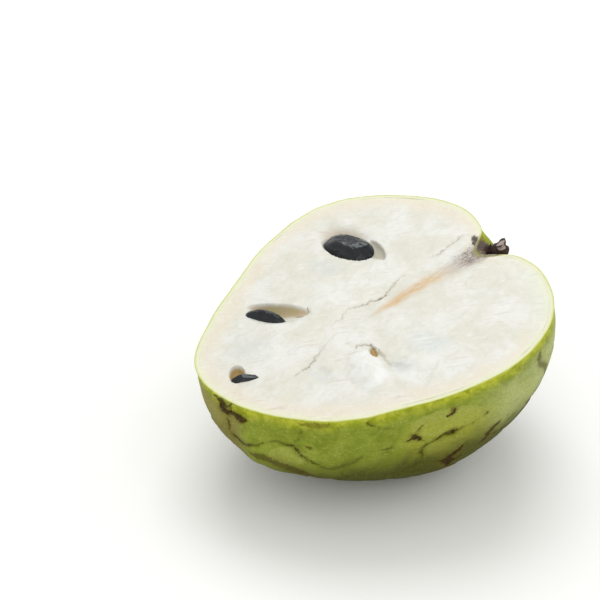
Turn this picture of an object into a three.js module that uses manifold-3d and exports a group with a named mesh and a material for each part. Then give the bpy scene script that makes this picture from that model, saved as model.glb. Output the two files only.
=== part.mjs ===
// Half of a custard apple, cut through its stem axis and lying on its skin with the cut face up.
//
// Millimetres, +Z up. The origin is the middle of the small flat spot that the half rests on.
// +X points along the stem axis towards the stem end, which lies higher than the blossom end.
//
// The fruit is worked out in its own frame, with its origin in the middle of the cut face:
//   +u along the stem axis towards the stem, +v across the face, +w straight out of the face.
// A group turns and lifts that frame to the way the half lies.
import * as THREE from "three";
import { mergeVertices } from "three/addons/utils/BufferGeometryUtils.js";
import Module from "manifold-3d";

const wasm = await Module();
wasm.setup();

// How the half lies: the stem end is raised, and the middle of the face is this far from the flat spot.
const STEM_RISE = THREE.MathUtils.degToRad(12);
const FACE_CENTRE = new THREE.Vector3(-4.9, -1.6, 51.3);

// Outline of the cut face: distances from its middle, every 22.5 degrees from the stem round by +v.
const FACE_RADII = [
  49.4, 58.8, 62.4, 63.2, 56.8, 51.5, 52.7, 57.3, 53.7, 48.6, 45.9, 43.6, 46.7, 52.5, 56.4, 55,
];
// Outline of the underside, straight below the axis: every 22.5 degrees from the stem to the blossom end.
const UNDERSIDE_RADII = [49.4, 60.4, 54.1, 53.9, 55.1, 52.6, 52.4, 57.8, 53.7];
// Fullness of the section between face and underside: 2 is an ellipse, more is squarer.
const SECTION_POWER = 2.2;
// The underside is worked out this far below the resting surface, then cut flat at it.
const REST_TRIM = 0.1;

// Columns round and rows down, for the outside of the skin and for where the skin and flesh meet.
// Columns crowd together at the stem end and rows at the rim.
const OUTER_GRID = [104, 30];
const INNER_GRID = [72, 15];
const COLUMN_CROWDING = 0.5;
const ROW_CROWDING = 1.25;

// The hollow at the stem end, round the stem axis.
const CAVITY_DEPTH = 6.5;
const CAVITY_RADIUS = 6;
const CAVITY_POWER = 2.6;

// The skin, and the hairline gap that separate solids keep between them.
const SKIN_THICKNESS = 1.6;
const GAP = 0.3;

// Plates of the skin: overlapping round scales whose free edges face the blossom end.
const PLATE_COUNT = 130;
const PLATE_RADIUS = 13;
const PLATE_RELIEF = 0.6;
const PLATE_EDGE = 2.6;
const PLATE_SHIFT = 0.1;
const GOLDEN_ANGLE = Math.PI * (3 - Math.sqrt(5));

// The tapering core that the stem runs into, along the face from the cavity to its tip.
const CORE_TOP = 46;
const CORE_TIP = -10;
const CORE_RADIUS = 4.6;
const CORE_TIP_RADIUS = 0.8;
const CORE_FULLNESS = 0.6;
const CORE_DRIFT = 2.5;

// The knobby corky ring left where the stem broke out of the cavity.
const SCAR_RADIUS = 3.9;
const SCAR_THICKNESS = 2.1;
const SCAR_AT = [48.3, 1.2, 0];
// How far the ring is turned about +w, in degrees.
const SCAR_TURN = 30;
// Knobs of the ring: how many round it, how far they stand out and where they start.
const SCAR_KNOBS = [
  { count: 9, height: 0.22, start: 0 },
  { count: 5, height: 0.12, start: 1 },
];
// The ring's cut slopes by some degrees: its end on the -v side stands just above the face, the other is sunk.
const SCAR_SLOPE = -30;
const SCAR_LIFT = -1.1;

// Seeds: size along, across and through, place of the middle, roll, dip and heading in degrees.
// The first lies on its flat side; the other two stand on edge in the flesh.
const SEEDS = [
  { name: "seed_1", size: [19, 11.2, 6.8], at: [15.8, 34.4, -1], roll: 10, dip: 0, heading: -72 },
  { name: "seed_2", size: [17, 9.5, 4.8], at: [-24.6, 26.1, -2.7], roll: 72, dip: 3, heading: -58 },
  { name: "seed_3", size: [15.6, 9.2, 5.4], at: [-42.3, 5.6, -3.9], roll: 80, dip: -24, heading: 150 },
];
const SEED_TAPER = 0.16;
// Hollows beside the seeds, open at the face: half sizes along, across and deep, middle and heading.
const HOLLOWS = [
  { half: [12, 6.3, 3], at: [17.5, 31.8, 0], heading: -71 },
  { half: [10.8, 3.4, 5.5], at: [-18.4, 25.2, 0], heading: -52 },
  { half: [3.2, 2.4, 4], at: [-45.2, 10.9, 0], heading: 60 },
  { half: [3.2, 1.6, 2.4], at: [-8.9, -13.1, 0], heading: -70 },
];

// Colours and finishes.
const FINISHES = {
  skin: { color: 0x8fa64a, roughness: 0.5 },
  flesh: { color: 0xefece2, roughness: 0.55 },
  core: { color: 0xdfc193, roughness: 0.7 },
  scar: { color: 0x4a3226, roughness: 0.9 },
  seed: { color: 0x14161a, roughness: 0.22 },
};

// Cutting tools reach this far past what they cut.
const REACH = 20;
const BLOCK = 400;

// Straight down, seen from the fruit's own frame.
const DOWN = new THREE.Vector3(-Math.sin(STEM_RISE), 0, -Math.cos(STEM_RISE));

const radians = THREE.MathUtils.degToRad;
const clamp = THREE.MathUtils.clamp;

// Smooth curve through evenly stepped values (Catmull-Rom); value(i) gives the value at a whole step.
function smoothThrough(value, position) {
  const i = Math.floor(position);
  const t = position - i;
  const [a, b, c, d] = [value(i - 1), value(i), value(i + 1), value(i + 2)];
  return b + 0.5 * t * (c - a + t * (2 * a - 5 * b + 4 * c - d + t * (3 * (b - c) + d - a)));
}

// Radius of the cut face at an angle from the stem round by +v.
function faceRadius(angle) {
  const count = FACE_RADII.length;
  const value = (i) => FACE_RADII[((i % count) + count) % count];
  return smoothThrough(value, (angle / (2 * Math.PI)) * count);
}

// Radius of the underside at an angle from the stem; the curve is mirrored past both ends.
function undersideRadius(angle) {
  const last = UNDERSIDE_RADII.length - 1;
  const value = (i) => UNDERSIDE_RADII[last - Math.abs(last - Math.abs(i))];
  return smoothThrough(value, (angle / Math.PI) * last);
}

// A repeatable value from -1 to 1 for a whole number.
function scatter(number) {
  const spread = Math.sin(number * 12.9898) * 43758.5453;
  return 2 * (spread - Math.floor(spread)) - 1;
}

// Centres of the plates on the whole fruit, as unit vectors in a golden-angle spiral from stem to blossom.
function plateCentres() {
  return Array.from({ length: PLATE_COUNT }, (_, i) => {
    const along = clamp(1 - (2 * i + 1 + PLATE_SHIFT * scatter(i)) / PLATE_COUNT, -1, 1);
    const round = i * GOLDEN_ANGLE + PLATE_SHIFT * scatter(i + PLATE_COUNT);
    const ring = Math.sqrt(1 - along * along);
    return new THREE.Vector3(along, ring * Math.cos(round), ring * Math.sin(round));
  });
}
const PLATES = plateCentres();

const angleOffAxis = (direction) => Math.acos(clamp(direction.x, -1, 1));

// How far the skin dips at a direction. Each point belongs to the plate nearest the stem that covers it,
// and dips towards that plate's round edge. The dips die out in the stem cavity.
function plateDip(direction, radius) {
  const owner = PLATES.find((centre) => centre.angleTo(direction) * radius < PLATE_RADIUS);
  const inside = owner ? PLATE_RADIUS - owner.angleTo(direction) * radius : 0;
  const aside = angleOffAxis(direction) * radius;
  const calm = THREE.MathUtils.smoothstep(aside, CAVITY_RADIUS, 3 * CAVITY_RADIUS);
  return calm * PLATE_RELIEF * Math.exp(-((inside / PLATE_EDGE) ** 2));
}

// Distance from the middle of the face to the skin in a direction, without plates or flat spot:
// a section between the face's radius at the side and the underside's radius, less the stem cavity.
function bodyRadius(direction) {
  const offAxis = angleOffAxis(direction);
  const across = Math.hypot(direction.y, direction.z);
  const sideways = across > 0 ? Math.abs(direction.y) / across : 1;
  const downwards = across > 0 ? Math.abs(direction.z) / across : 0;
  const side = faceRadius(direction.y >= 0 ? offAxis : 2 * Math.PI - offAxis);
  const under = undersideRadius(offAxis);
  const shares = (sideways / side) ** SECTION_POWER + (downwards / under) ** SECTION_POWER;
  const full = shares ** (-1 / SECTION_POWER);
  const aside = direction.x > 0 ? full * Math.sin(offAxis) : Infinity;
  return full - CAVITY_DEPTH * Math.exp(-((aside / CAVITY_RADIUS) ** CAVITY_POWER));
}

// The body taken in by a depth, and levelled off where it rests on the surface below.
function shellRadius(direction, depth, plates) {
  const body = bodyRadius(direction);
  const radius = body - depth - (plates ? plateDip(direction, body) : 0);
  const downward = direction.dot(DOWN);
  return downward > 0.5 ? Math.min(radius, (FACE_CENTRE.z + REST_TRIM - depth) / downward) : radius;
}

// A closed half body taken in by a depth. Rings of points run from the rim down to the pole,
// and a flat lid closes it, level with the face or raised above it.
function halfBody([columns, rows], depth, { plates = false, lid = 0 } = {}) {
  const points = [0, 0, lid];
  const faces = [];

  function addPoint(direction, lift) {
    const point = direction.clone().multiplyScalar(shellRadius(direction, depth, plates));
    points.push(point.x, point.y, point.z + lift);
  }
  function addRing(down, lift) {
    for (let column = 0; column < columns; column++) {
      const even = (2 * Math.PI * column) / columns;
      const round = even - COLUMN_CROWDING * Math.sin(even);
      const level = Math.cos(down);
      addPoint(new THREE.Vector3(level * Math.cos(round), level * Math.sin(round), -Math.sin(down)), lift);
    }
  }

  if (lid > 0) addRing(0, lid);
  for (let row = 0; row < rows; row++) addRing((Math.PI / 2) * (row / rows) ** ROW_CROWDING, 0);
  addPoint(new THREE.Vector3(0, 0, -1), 0);

  const rings = rows + (lid > 0 ? 1 : 0);
  const pole = 1 + rings * columns;
  const id = (ring, column) => 1 + ring * columns + (column % columns);
  for (let column = 0; column < columns; column++) {
    faces.push(0, id(0, column), id(0, column + 1));
    for (let ring = 0; ring < rings - 1; ring++) {
      const [a, b] = [id(ring, column), id(ring, column + 1)];
      const [c, d] = [id(ring + 1, column + 1), id(ring + 1, column)];
      faces.push(a, d, b, b, d, c);
    }
    faces.push(id(rings - 1, column), pole, id(rings - 1, column + 1));
  }
  const geometry = new THREE.BufferGeometry();
  geometry.setAttribute("position", new THREE.Float32BufferAttribute(points, 3));
  geometry.setIndex(faces);
  return solid(geometry);
}

// Moves every point of a geometry by a function that changes the point it is given.
function reshape(geometry, change) {
  const position = geometry.attributes.position;
  const point = new THREE.Vector3();
  for (let i = 0; i < position.count; i++) {
    point.fromBufferAttribute(position, i);
    change(point);
    position.setXYZ(i, point.x, point.y, point.z);
  }
  return geometry;
}

// A solid for cutting and joining, from a closed geometry.
function solid(geometry) {
  const bare = geometry.clone();
  bare.deleteAttribute("normal");
  bare.deleteAttribute("uv");
  const merged = mergeVertices(bare, 1e-4);
  return new wasm.Manifold(
    new wasm.Mesh({
      numProp: 3,
      vertProperties: new Float32Array(merged.attributes.position.array),
      triVerts: new Uint32Array(merged.index.array),
    }),
  );
}

// The drawable geometry of a solid.
function geometryOf(body) {
  const mesh = body.getMesh();
  const geometry = new THREE.BufferGeometry();
  geometry.setAttribute("position", new THREE.BufferAttribute(new Float32Array(mesh.vertProperties), 3));
  geometry.setIndex(new THREE.BufferAttribute(new Uint32Array(mesh.triVerts), 1));
  geometry.computeVertexNormals();
  return geometry;
}

// A tapering round rod along the stem axis that drifts to +v towards its tip, grown by a margin.
function coreRod(margin) {
  const steps = 14;
  const top = CORE_TOP + REACH;
  const profile = [new THREE.Vector2(0, CORE_TIP - margin)];
  for (let i = 0; i <= steps; i++) {
    const share = i / steps;
    const along = THREE.MathUtils.lerp(CORE_TIP, CORE_TOP, share);
    const radius = THREE.MathUtils.lerp(CORE_TIP_RADIUS, CORE_RADIUS, share ** CORE_FULLNESS);
    profile.push(new THREE.Vector2(radius + margin, along));
  }
  profile.push(new THREE.Vector2(CORE_RADIUS + margin, top), new THREE.Vector2(0, top));
  const rod = new THREE.LatheGeometry(profile, 20).rotateZ(-Math.PI / 2);
  return solid(
    reshape(rod, (point) => {
      const share = clamp((CORE_TOP - point.x) / (CORE_TOP - CORE_TIP), 0, 1);
      point.y += CORE_DRIFT * share * share;
    }),
  );
}

// An egg-shaped, flattened seed with its narrow end at the back of its heading, grown by a margin.
function seedSolid({ size, at, roll, dip, heading }, margin) {
  const egg = reshape(new THREE.SphereGeometry(1, 20, 12), (point) => {
    const taper = 1 + SEED_TAPER * point.x;
    point.x *= size[0] / 2 + margin;
    point.y *= (size[1] / 2 + margin) * taper;
    point.z *= (size[2] / 2 + margin) * taper;
  });
  egg.rotateX(radians(roll)).rotateY(radians(dip)).rotateZ(radians(heading)).translate(...at);
  return solid(egg);
}

function hollowSolid({ half, at, heading }) {
  const hollow = new THREE.SphereGeometry(1, 18, 10).scale(...half);
  return solid(hollow.rotateZ(radians(heading)).translate(...at));
}

// A knobby ring round the stem axis.
function scarRing() {
  const ring = reshape(new THREE.TorusGeometry(SCAR_RADIUS, SCAR_THICKNESS, 9, 40), (point) => {
    const round = Math.atan2(point.y, point.x);
    const middle = new THREE.Vector3(Math.cos(round), Math.sin(round), 0).multiplyScalar(SCAR_RADIUS);
    const knob = SCAR_KNOBS.reduce((sum, k) => sum + k.height * Math.sin(k.count * round + k.start), 1);
    point.sub(middle).multiplyScalar(knob).add(middle);
  });
  return solid(ring.rotateY(Math.PI / 2).rotateZ(radians(SCAR_TURN)).translate(...SCAR_AT));
}

// All that lies above the cut face, and all that lies below the resting surface.
const aboveFace = solid(new THREE.BoxGeometry(BLOCK, BLOCK, BLOCK).translate(0, 0, BLOCK / 2));
const underfoot = solid(
  new THREE.BoxGeometry(BLOCK, BLOCK, BLOCK).translate(0, 0, -BLOCK / 2 - FACE_CENTRE.z).rotateY(STEM_RISE),
);

// The rind: a bowl with the stem's hole at the bottom of the cavity.
function makeSkin() {
  const outside = halfBody(OUTER_GRID, 0, { plates: true });
  const inside = halfBody(INNER_GRID, SKIN_THICKNESS, { lid: REACH });
  return outside.subtract(inside).subtract(coreRod(2 * GAP)).subtract(underfoot);
}

// The flesh that fills the rind, with room for the core and seeds and with the hollows at the face.
function makeFlesh() {
  const tools = [coreRod(GAP), ...HOLLOWS.map(hollowSolid), ...SEEDS.map((seed) => seedSolid(seed, GAP))];
  return tools.reduce((body, tool) => body.subtract(tool), halfBody(INNER_GRID, SKIN_THICKNESS + GAP));
}

// The half of the core that the cut leaves, ending at the bottom of the cavity.
function makeCore() {
  return coreRod(0).intersect(halfBody(OUTER_GRID, GAP / 2)).subtract(aboveFace);
}

// The part of the ring that stands in the cavity and out of its mouth, clear of the fruit.
function makeStemScar() {
  const roomForFruit = halfBody(OUTER_GRID, -GAP, { lid: GAP });
  const [along, aside] = SCAR_AT;
  const slope = aboveFace.rotate([SCAR_SLOPE, 0, SCAR_TURN]).translate([along, aside, SCAR_LIFT]);
  return scarRing().subtract(roomForFruit).subtract(slope);
}

const fruit = new THREE.Group();
fruit.position.copy(FACE_CENTRE);
fruit.rotation.y = -STEM_RISE;

function addPiece(name, body, finish) {
  const material = new THREE.MeshStandardMaterial({ metalness: 0, ...finish });
  const mesh = new THREE.Mesh(geometryOf(body), material);
  mesh.name = name;
  fruit.add(mesh);
}

addPiece("skin", makeSkin(), FINISHES.skin);
addPiece("flesh", makeFlesh(), FINISHES.flesh);
addPiece("core", makeCore(), FINISHES.core);
addPiece("stem_scar", makeStemScar(), FINISHES.scar);
for (const seed of SEEDS) addPiece(seed.name, seedSolid(seed, 0), FINISHES.seed);

const part = new THREE.Group();
part.add(fruit);

export default part;
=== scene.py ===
"""Half of a custard apple, cut through its stem axis and lying on its skin with the cut face up.

Lengths are millimetres in the fruit's own frame, which has its origin in the middle of the cut face:
u runs along the stem axis towards the stem, v across the face and w straight out of the face.
in_row_frame() turns and lifts that frame to the way the half lies, in metres.
"""
import math

import bpy
import numpy as np
from mathutils import Matrix, Vector


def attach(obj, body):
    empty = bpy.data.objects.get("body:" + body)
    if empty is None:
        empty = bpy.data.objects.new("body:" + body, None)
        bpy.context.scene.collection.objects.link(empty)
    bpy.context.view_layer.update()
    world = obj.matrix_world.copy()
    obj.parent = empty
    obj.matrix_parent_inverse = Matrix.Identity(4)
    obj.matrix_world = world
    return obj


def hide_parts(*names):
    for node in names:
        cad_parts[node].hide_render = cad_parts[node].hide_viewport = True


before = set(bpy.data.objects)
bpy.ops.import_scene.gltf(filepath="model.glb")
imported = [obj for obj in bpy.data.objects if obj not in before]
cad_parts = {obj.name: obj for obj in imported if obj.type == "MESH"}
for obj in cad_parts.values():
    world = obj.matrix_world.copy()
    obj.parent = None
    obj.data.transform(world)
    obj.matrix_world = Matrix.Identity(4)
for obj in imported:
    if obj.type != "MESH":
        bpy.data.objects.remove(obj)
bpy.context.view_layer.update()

# How the half lies, and where the middle of its face is above the flat spot that it rests on.
STEM_RISE = math.radians(12)
FACE_CENTRE = np.array([-4.9, -1.6, 51.3])
DOWN = np.array([-math.sin(STEM_RISE), 0, -math.cos(STEM_RISE)])

# Outlines of the cut face, from the stem round by +v, and of the underside, from the stem to the
# blossom end.
FACE_RADII = np.array(
    [49.4, 58.8, 62.4, 63.2, 56.8, 51.5, 52.7, 57.3, 53.7, 48.6, 45.9, 43.6, 46.7, 52.5, 56.4, 55]
)
UNDERSIDE_RADII = np.array([49.4, 60.4, 54.1, 53.9, 55.1, 52.6, 52.4, 57.8, 53.7])
SECTION_POWER = 2.2

# The hollow at the stem end, the thickness of the skin, and how far the flesh reaches into it.
CAVITY_DEPTH = 6.5
CAVITY_RADIUS = 6
CAVITY_POWER = 2.6
SKIN_THICKNESS = 1.6
OVERLAP = 0.04

# Plates of the skin: overlapping round scales whose free edges face the blossom end.
PLATE_COUNT = 130
PLATE_RADIUS = 13
PLATE_SHIFT = 0.1
GOLDEN_ANGLE = math.pi * (3 - math.sqrt(5))

# The tapering core, from the bottom of the cavity to its tip.
CORE_TOP = 46
CORE_TIP = -10
CORE_RADIUS = 4.6
CORE_TIP_RADIUS = 0.8
CORE_FULLNESS = 0.6
CORE_DRIFT = 2.5

# The corky ring in the stem cavity.
SCAR_RADIUS = 3.9
SCAR_THICKNESS = 2.1
SCAR_AT = np.array([48.3, 1.2, 0])
SCAR_TURN = math.radians(30)
SCAR_SLOPE = math.radians(-30)
SCAR_LIFT = -1.1

# The torn, dark spot in the cut face beside the ring: middle, half sizes and heading.
TORN_SPOT = ((45.9, 4.4), (4.6, 1.9), 67)

# Seeds: half sizes along, across and through, middle, roll, dip and heading in degrees, and how far the
# ends bend to the side.
SEEDS = {
    "seed_1": dict(half=(9.5, 5.7, 3.9), at=(15.8, 34.4, -0.8), roll=10, dip=0, heading=-72, bend=-0.5),
    "seed_2": dict(half=(8.5, 4.75, 2.4), at=(-24.6, 26.1, -2.7), roll=72, dip=3, heading=-58, bend=-1.2),
    "seed_3": dict(half=(7.8, 4.7, 2.8), at=(-42.3, 5.6, -3.9), roll=80, dip=-24, heading=150, bend=-0.8),
}

# Soft planes that flatten a seed: the way each one faces and its distance from the middle of a unit ball.
SEED_FACETS = [
    ((0.05, 0.3, 0.95), 0.72),
    ((0, -0.85, 0.52), 0.78),
    ((0.75, -0.35, 0.55), 0.8),
    ((-0.85, 0.1, 0.5), 0.88),
    ((0.2, 0.92, 0.33), 0.86),
]

# Pits in a seed: their direction from its middle, their reach on a unit ball and their depth.
SEED_PITS = [
    ((-0.12, 0.25, 0.9), 0.08, 0.06),
    ((0.35, 0.75, 0.6), 0.16, 0.08),
    ((-0.5, 0.65, 0.5), 0.2, 0.07),
    ((0.6, 0.2, 0.75), 0.1, 0.05),
]

# Dents in the cut face: middle, half sizes along, to the far side and to the near side, heading in degrees,
# depth, and how the depth eases off on the far and the near side (0.5 is the wall of a bowl, 2 a soft
# dish). Negative depths are bulges.
DENTS = {
    "flat seed's socket": ((15.8, 34.3), (10.0, 5.8, 5.8), -72, 3.4, (0.5, 0.5)),
    "dish over the flat seed": ((17.5, 39.5), (14, 8, 7), -72, 1.6, (2.2, 2.2)),
    "tail of the socket": ((21.0, 26.4), (6.4, 2.6, 4), -103, 1.7, (0.45, 2)),
    "long hollow": ((-19.4, 24.6), (11.6, 3.9, 6.5), -53, 2.7, (0.75, 2)),
    "amber hollow": ((-45.2, 9.6), (4.2, 2.6, 2.6), 62, 2.6, (0.7, 0.7)),
    "lost seed's pit": ((-9.3, -13.0), (3.4, 1.2, 1.6), -110, 1.3, (0.7, 1.6)),
    "white bulge": ((-15.8, -19.0), (12.5, 6.8, 6.8), -105, -1.3, (1.1, 2)),
    "valley beside the bulge": ((-8.4, -24.0), (4.5, 2.4, 3), -50, 0.8, (1.4, 2)),
    "valley under the crack": ((-26, -8.5), (5.5, 2.8, 4), -80, 0.5, (1.6, 2)),
    "soft valley": ((-27, -3), (11, 4, 5), 8, 0.5, (2, 2)),
    "valley by the crack": ((10, 7.2), (24, 3, 4), -1, 0.45, (1.5, 2)),
    "torn spot": ((45.4, 4.3), (3.4, 1.3, 1.3), 67, 0.7, (1, 1)),
}

# Cracks in the cut face: points along each, half width, and darkness at each point. The darkness sets how
# deep a crack is cut and how strong the painted shade in and beside it is.
CRACKS = [
    (
        [(45.5, 11.2), (43.7, 10.4), (38.1, 9.7), (34.5, 9.2), (31.4, 9.6)],
        0.55,
        (0.2, 0.35, 0.3, 0.45, 0.2),
    ),
    (
        [(22, 10), (16, 8.6), (11.6, 7), (8.2, 5.8), (4.9, 7.1)]
        + [(1.9, 7.4), (-2.8, 9), (-7, 7.1), (-12, 7.5)],
        0.45,
        (0.15, 0.35, 0.45, 1, 0.5, 0.55, 0.2, 0.35, 0.15),
    ),
    (
        [(-10, 2.9), (-15.6, 1.3), (-22.5, -1.4), (-26.6, -3), (-33.8, -3.9)],
        0.5,
        (0.1, 0.15, 0.3, 0.6, 0.15),
    ),
    (
        [(-13.6, -8), (-11.1, -7.2), (-9.3, -8.6), (-7.8, -10.2), (-8, -13.5)],
        0.4,
        (0.3, 0.5, 0.8, 0.5, 0.5),
    ),
    ([(-8, -13.2), (-8.5, -17.3), (-9.5, -22.1)], 0.8, (0.5, 0.3, 0.2)),
    ([(-16.2, 20.6), (-15.3, 19.2), (-14.5, 17.9), (-12.8, 17.5)], 0.4, (0.4, 1, 1, 0.8)),
    ([(-12.8, 17.5), (-11.6, 18.3), (-11.2, 19.8)], 0.32, (0.8, 0.6, 0.5)),
]

# Cool patches of the flesh: middle, half sizes, heading and strength. The first three are cool, watery
# patches; the last two lie in the valleys under the crack and beside the bulge, where their grey is painted
# shade.
COOL_PATCHES = [
    ((5.4, -22), (9, 6), -60, 1.0),
    ((4, 31), (9, 6), -60, 0.8),
    ((-36, 17), (9, 8), -50, 0.7),
    ((-27, -9), (6, 3.5), -80, 0.9),
    ((-6.5, -25), (6, 4), -60, 0.9),
]

# Lines between plates, on the side where they are plain to see: angles round from the stem and down
# from the face in degrees, and half width and darkness, each for the whole line or for each point.
PLATE_LINES = [
    (
        [(177, 8.6), (176.8, 12.2), (178.4, 14.2), (184.1, 13.9), (187.2, 13.1), (192.3, 11.1)],
        (0.3, 0.4, 0.5, 0.8, 0.6, 0.3),
        (0.7, 0.9, 1, 1, 0.9, 0.5),
    ),
    (
        [(192.3, 11.1), (195.5, 10.5), (200.3, 11.3), (202.6, 12.8), (204.1, 16.2), (205.9, 19.5)],
        (0.3, 0.35, 0.45, 0.65, 0.5, 0.4),
        (0.4, 0.5, 0.9, 1, 0.9, 0.9),
    ),
    ([(205.9, 19.5), (208.3, 21.7), (211.7, 25.5)], 0.5, (0.9, 0.8, 0.6)),
    # This wide, soft line is a painted soft shadow along the edge of a plate.
    ([(208.3, 21.7), (211.7, 25.5), (216.4, 25.1), (221.6, 23.4), (226, 20.5)], 1.2, 0.5),
    ([(203.1, 8.8), (202.6, 12.8)], 0.35, 0.6),
    ([(205.7, 3.3), (205.2, 7.3), (203.3, 10)], 0.4, 0.5),
    ([(230.4, 1.6), (231.8, 4.3), (233.9, 5.7)], 0.4, 0.8),
    ([(231.5, 4.7), (236.8, 8), (242.6, 9.6)], 0.35, 0.4),
    ([(233.5, 19.4), (236.2, 19.8), (239.2, 20.9)], 0.5, 0.8),
    ([(232.6, 22.5), (236, 22)], 0.4, 0.4),
    ([(249.7, 34.6), (250, 27.3), (251.1, 25.2)], 0.55, (0.6, 0.9, 0.9)),
    (
        [(251.1, 25.2), (254.8, 23.4), (258.9, 21.5), (262.9, 20.5), (265.9, 19.7), (273.8, 18)],
        (0.5, 0.5, 0.65, 0.85, 0.5, 0.25),
        (0.9, 0.9, 1, 1, 0.6, 0.3),
    ),
    ([(248.5, 17.3), (248.9, 15.6), (252.6, 13)], 0.35, 0.8),
    ([(261.6, 37.8), (258.2, 37.8), (250.8, 35.6)], 0.55, (0.9, 0.8, 0.6)),
    ([(250.8, 35.6), (247, 37), (243, 39), (237, 41)], 0.9, 0.45),
    ([(265.2, 38.2), (268.9, 38.9)], 0.5, 0.8),
    ([(278.3, 35.7), (274, 37.4)], 0.45, 0.7),
    ([(217, 27), (215, 32), (217, 39)], 0.7, 0.4),
    ([(230, 41), (239, 41), (249, 44), (258, 46)], 0.8, 0.5),
]

# Brown scars on the same side, given in the same way.
SCARS = [
    ([(171.5, 1.6), (175.5, 1.0), (178.5, 0.9), (181.5, 0.7)], (0.4, 0.9, 1.2, 0.4), 0.85),
    ([(175.5, 1.3), (177.3, 2.4), (178, 4.2), (178, 6)], (0.9, 1.9, 1.3, 0.5), 1.0),
    ([(178, 4.6), (181.5, 3.7), (183.8, 3.7), (186.2, 4.2)], (0.9, 1.7, 1.6, 0.5), 0.9),
    ([(177.6, 6), (177, 9), (176.8, 13)], 0.5, 0.6),
    ([(206, 12.5), (209.3, 13.4)], 0.5, 0.7),
    ([(262, 11), (264.3, 9.2), (266.8, 7.1)], (0.4, 0.75, 0.3), 1.0),
    ([(244.3, 19.3), (246.6, 18.7), (248.5, 17.3)], (0.4, 0.9, 0.7), 1.0),
    ([(247, 17.8), (249.2, 19.3), (250.8, 21)], (1.1, 0.8, 0.3), 1.0),
    ([(262.5, 20.6), (265, 19.9)], 0.8, 0.9),
    ([(269, 31), (265.5, 34), (262.5, 36.6), (261.8, 39.5), (263.7, 45)], (0.4, 0.9, 1.8, 2.0, 1.2), 1.0),
    ([(265, 35.5), (261.8, 38.2), (257.5, 38)], (0.7, 1.3, 0.4), 1.0),
    ([(269.5, 39), (265.5, 40.5), (262.5, 41)], (0.3, 0.7, 1.2), 0.9),
    ([(283.9, 25), (282.4, 27.3), (280.4, 30.9), (278.7, 34), (275, 37)], (0.5, 1.3, 1.2, 0.9, 0.4), 0.8),
    ([(302.2, 5), (301.8, 9.2), (306.5, 15), (308.7, 20.7)], (0.8, 1.2, 1.2, 0.6), 0.55),
    ([(276.2, 16.2), (277.6, 15.8)], 0.7, 0.7),
    ([(186, 17), (191, 18), (195, 21), (198.5, 25), (202, 31)], (0.8, 1.8, 2.6, 2.8, 1.5), 0.6),
    ([(205.6, 2.1), (211, 2.3), (216.5, 2)], (0.5, 1.3, 0.5), 0.45),
]
HIDDEN_SCARS = 16

# How far a stroke is felt, in units of its half width.
STROKE_REACH = 4.0

# Pale plates: middle in the same angles, half sizes in millimetres, and paleness.
PALE_PLATES = [
    ((261.5, 14), (11, 5.5), 1.0),
    ((199, 17), (6, 4.5), 0.6),
    ((212, 14), (8, 6), 0.3),
    ((261, 28), (8, 5), 0.6),
    ((292, 20), (9, 9), 0.9),
    ((60, 20), (12, 7), 0.8),
    ((120, 30), (11, 7), 0.6),
    ((20, 40), (10, 8), 0.6),
]

# Edges that turn by more than this angle stay hard in the shading.
HARD_EDGE = math.radians(60)

# Heading of the knife's streaks on the cut face.
KNIFE_HEADING = math.radians(-35)

# The camera looks down at the half from the photograph's angle.
CAMERA_AZIMUTH = math.radians(-34.7)
CAMERA_ELEVATION = math.radians(33)
CAMERA_AWAY = 598
CAMERA_LEFT = 22.5
CAMERA_ABOVE = 5.5
CAMERA_LENS = 115.2


# Shape of the fruit


def smooth_through(values, position):
    """Catmull-Rom curve through evenly stepped values; values(i) gives the value at a whole step."""
    step = np.floor(position).astype(int)
    t = position - step
    a, b, c, d = (values(step + k) for k in (-1, 0, 1, 2))
    return b + 0.5 * t * (c - a + t * (2 * a - 5 * b + 4 * c - d + t * (3 * (b - c) + d - a)))


def face_radius(angle):
    """Radius of the cut face at an angle from the stem round by +v."""
    count = len(FACE_RADII)
    return smooth_through(lambda i: FACE_RADII[i % count], angle * count / (2 * math.pi))


def underside_radius(angle):
    """Radius of the underside at an angle from the stem; the curve is mirrored past both ends."""
    last = len(UNDERSIDE_RADII) - 1
    return smooth_through(lambda i: UNDERSIDE_RADII[last - abs(last - abs(i))], angle * last / math.pi)


def directions_at(around, below):
    """Unit vectors at angles round the face from the stem and down from the face."""
    around, below = np.broadcast_arrays(around, below)
    level = np.cos(below)
    return np.stack([level * np.cos(around), level * np.sin(around), -np.sin(below)], -1)


def body_radius(directions):
    """Distance from the middle of the face to the smooth skin.

    A superellipse between the face's radius at the side and the underside's radius below, less a bell
    of (distance from the stem axis / cavity radius) to the cavity's power.
    """
    off_axis = np.arccos(np.clip(directions[..., 0], -1, 1))
    across = np.hypot(directions[..., 1], directions[..., 2]) + 1e-12
    side = face_radius(np.where(directions[..., 1] >= 0, off_axis, 2 * math.pi - off_axis))
    under = underside_radius(off_axis)
    sideways = ((abs(directions[..., 1]) + 1e-12) / across / side) ** SECTION_POWER
    downwards = (abs(directions[..., 2]) / across / under) ** SECTION_POWER
    full = (sideways + downwards) ** (-1 / SECTION_POWER)
    aside = np.where(directions[..., 0] > 0, full * np.sin(off_axis), 1e3)
    return full - CAVITY_DEPTH * np.exp(-((aside / CAVITY_RADIUS) ** CAVITY_POWER))


def level_at_rest(radius, directions, depth):
    """Keeps a surface that lies some depth under the skin at least that far above the resting surface."""
    downward = directions @ DOWN
    limit = (FACE_CENTRE[2] - depth) / np.maximum(downward, 0.5)
    return np.where(downward > 0.5, np.minimum(radius, limit), radius)


def in_row_frame(points):
    """Metres in the frame of the whole part, from millimetres in the fruit's own frame."""
    u, v, w = np.moveaxis(points, -1, 0)
    along = u * math.cos(STEM_RISE) - w * math.sin(STEM_RISE)
    high = u * math.sin(STEM_RISE) + w * math.cos(STEM_RISE)
    return (np.stack([along, v, high], -1) + FACE_CENTRE) / 1000


# Unevenness, curves and distances


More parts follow.
